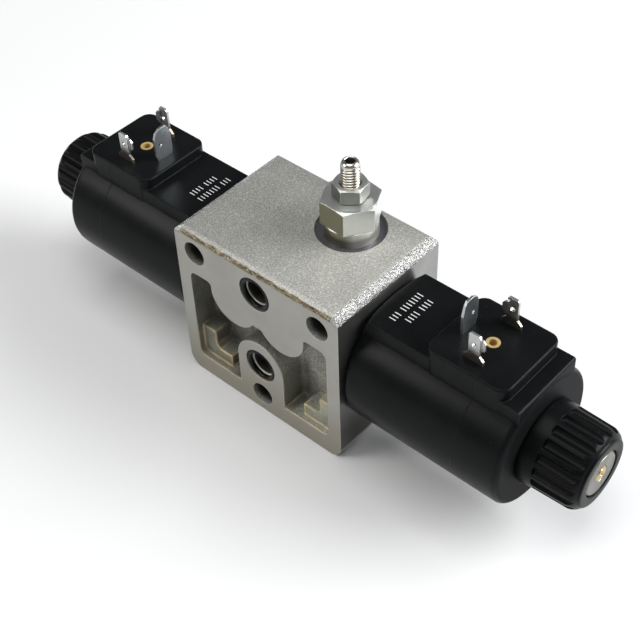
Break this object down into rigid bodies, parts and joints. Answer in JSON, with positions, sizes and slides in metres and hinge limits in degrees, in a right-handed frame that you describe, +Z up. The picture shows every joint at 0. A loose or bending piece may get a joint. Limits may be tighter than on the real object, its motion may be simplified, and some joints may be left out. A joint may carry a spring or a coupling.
{
  "type": "solenoid directional valve",
  "caption": "Directional spool valve block with a solenoid coil on each end, blade connectors, ring nuts with override pins and a screw-adjusted relief cartridge on top.",
  "frame": {"origin": "centre of the valve body's underside", "axes": "+X along the spool and both coils, -Y out of the sandwich face with the ports, +Z up through the relief cartridge"},
  "size_m": [0.2208, 0.047, 0.088],
  "materials": {
    "plated_casting": "zinc plated, grainy cast skin with machined faces",
    "black_rubber": "black nitrile",
    "ground_steel": "ground",
    "spring_steel": "drawn wire",
    "turned_steel": "turned",
    "brass": "turned",
    "moulded_black": "semi-gloss moulded",
    "knob_black": "semi-gloss moulded",
    "bobbin_plastic": "moulded",
    "copper_wire": "enamelled winding",
    "yoke_steel": "pressed",
    "tinned_blade": "tin plated",
    "zinc_plate": "zinc plated",
    "bright_steel": "bright plated thread"
  },
  "bodies": {
    "valve_body": {"valve_body": "plated_casting", "port_o_rings": "black_rubber", "cartridge_body": "zinc_plate", "cartridge_o_rings": "black_rubber", "relief_spring": "spring_steel", "solenoid_tube_right": "turned_steel", "tube_o_ring_right": "black_rubber", "pole_piece_right": "turned_steel", "tube_end_plug_right": "turned_steel", "pin_o_ring_right": "black_rubber", "coil_seal_right": "black_rubber", "centring_spring_right": "spring_steel", "solenoid_tube_left": "turned_steel", "tube_o_ring_left": "black_rubber", "pole_piece_left": "turned_steel", "tube_end_plug_left": "turned_steel", "pin_o_ring_left": "black_rubber", "coil_seal_left": "black_rubber", "centring_spring_left": "spring_steel"},
    "spool": {"spool": "ground_steel", "spring_washer_right": "ground_steel", "spring_washer_left": "ground_steel"},
    "poppet": {"relief_poppet": "ground_steel"},
    "spring_seat": {"relief_spring_seat": "ground_steel"},
    "adjusting_screw": {"adjusting_screw": "bright_steel"},
    "lock_nut": {"lock_nut": "zinc_plate"},
    "armature_right": {"armature_right": "turned_steel", "push_rod_right": "ground_steel"},
    "override_pin_right": {"override_pin_right": "brass"},
    "coil_right": {"coil_housing_right": "moulded_black", "coil_bobbin_right": "bobbin_plastic", "coil_winding_right": "copper_wire", "coil_yoke_right": "yoke_steel", "power_terminals_right": "tinned_blade", "ground_terminal_right": "tinned_blade", "connector_insert_right": "brass"},
    "nut_seal_right": {"nut_seal_right": "black_rubber"},
    "ring_nut_right": {"ring_nut_right": "knob_black"},
    "armature_left": {"armature_left": "turned_steel", "push_rod_left": "ground_steel"},
    "override_pin_left": {"override_pin_left": "brass"},
    "coil_left": {"coil_housing_left": "moulded_black", "coil_bobbin_left": "bobbin_plastic", "coil_winding_left": "copper_wire", "coil_yoke_left": "yoke_steel", "power_terminals_left": "tinned_blade", "ground_terminal_left": "tinned_blade", "connector_insert_left": "brass"},
    "nut_seal_left": {"nut_seal_left": "black_rubber"},
    "ring_nut_left": {"ring_nut_left": "knob_black"}
  },
  "joints": [
    {"name": "spool_slide", "type": "slide", "parent": "valve_body", "child": "spool", "axis": [1, 0, 0], "range_m": [-0.0028, 0.0028], "stiffness_N_per_m": 9000, "deforming": ["centring_spring_right", "centring_spring_left"]},
    {"name": "armature_right_slide", "type": "slide", "parent": "valve_body", "child": "armature_right", "axis": [1, 0, 0], "range_m": [-0.0028, 0.0028]},
    {"name": "override_pin_right_slide", "type": "slide", "parent": "valve_body", "child": "override_pin_right", "axis": [1, 0, 0], "range_m": [-0.0028, 0.0028]},
    {"name": "coil_right_turn", "type": "hinge", "parent": "valve_body", "child": "coil_right", "pos_m": [0.062, 0, 0.033], "axis": [1, 0, 0], "continuous": true},
    {"name": "ring_nut_right_travel", "type": "slide", "parent": "valve_body", "child": "nut_seal_right", "axis": [1, 0, 0], "range_m": [0, 0.0045]},
    {"name": "ring_nut_right_turn", "type": "hinge", "parent": "nut_seal_right", "child": "ring_nut_right", "pos_m": [0.1, 0, 0.033], "axis": [1, 0, 0], "range_deg": [0, 1080]},
    {"name": "armature_left_slide", "type": "slide", "parent": "valve_body", "child": "armature_left", "axis": [1, 0, 0], "range_m": [-0.0028, 0.0028]},
    {"name": "override_pin_left_slide", "type": "slide", "parent": "valve_body", "child": "override_pin_left", "axis": [1, 0, 0], "range_m": [-0.0028, 0.0028]},
    {"name": "coil_left_turn", "type": "hinge", "parent": "valve_body", "child": "coil_left", "pos_m": [-0.062, 0, 0.033], "axis": [-1, 0, 0], "continuous": true},
    {"name": "ring_nut_left_travel", "type": "slide", "parent": "valve_body", "child": "nut_seal_left", "axis": [-1, 0, 0], "range_m": [0, 0.0045]},
    {"name": "ring_nut_left_turn", "type": "hinge", "parent": "nut_seal_left", "child": "ring_nut_left", "pos_m": [-0.1, 0, 0.033], "axis": [-1, 0, 0], "range_deg": [0, 1080]},
    {"name": "poppet_lift", "type": "slide", "parent": "valve_body", "child": "poppet", "axis": [0, 0, 1], "range_m": [0, 0.0015], "stiffness_N_per_m": 6000, "deforming": ["relief_spring"]},
    {"name": "adjuster_travel", "type": "slide", "parent": "valve_body", "child": "spring_seat", "axis": [0, 0, -1], "range_m": [-0.0015, 0.0015], "deforming": ["relief_spring"]},
    {"name": "adjuster_turn", "type": "hinge", "parent": "spring_seat", "child": "adjusting_screw", "pos_m": [0.0101, 0.01, 0.078], "axis": [0, 0, -1], "range_deg": [-540, 540]},
    {"name": "lock_nut_turn", "type": "hinge", "parent": "valve_body", "child": "lock_nut", "pos_m": [0.0101, 0.01, 0.079], "axis": [0, 0, 1], "range_deg": [0, 60]}
  ],
  "couplings": [
    {"joint": "armature_right_slide", "follows": "spool_slide", "ratio": 1},
    {"joint": "override_pin_right_slide", "follows": "spool_slide", "ratio": 1},
    {"joint": "ring_nut_right_turn", "follows": "ring_nut_right_travel", "rad_per_m": 4188.8},
    {"joint": "armature_left_slide", "follows": "spool_slide", "ratio": 1},
    {"joint": "override_pin_left_slide", "follows": "spool_slide", "ratio": 1},
    {"joint": "ring_nut_left_turn", "follows": "ring_nut_left_travel", "rad_per_m": 4188.8},
    {"joint": "adjuster_turn", "follows": "adjuster_travel", "rad_per_m": 6283.2}
  ]
}
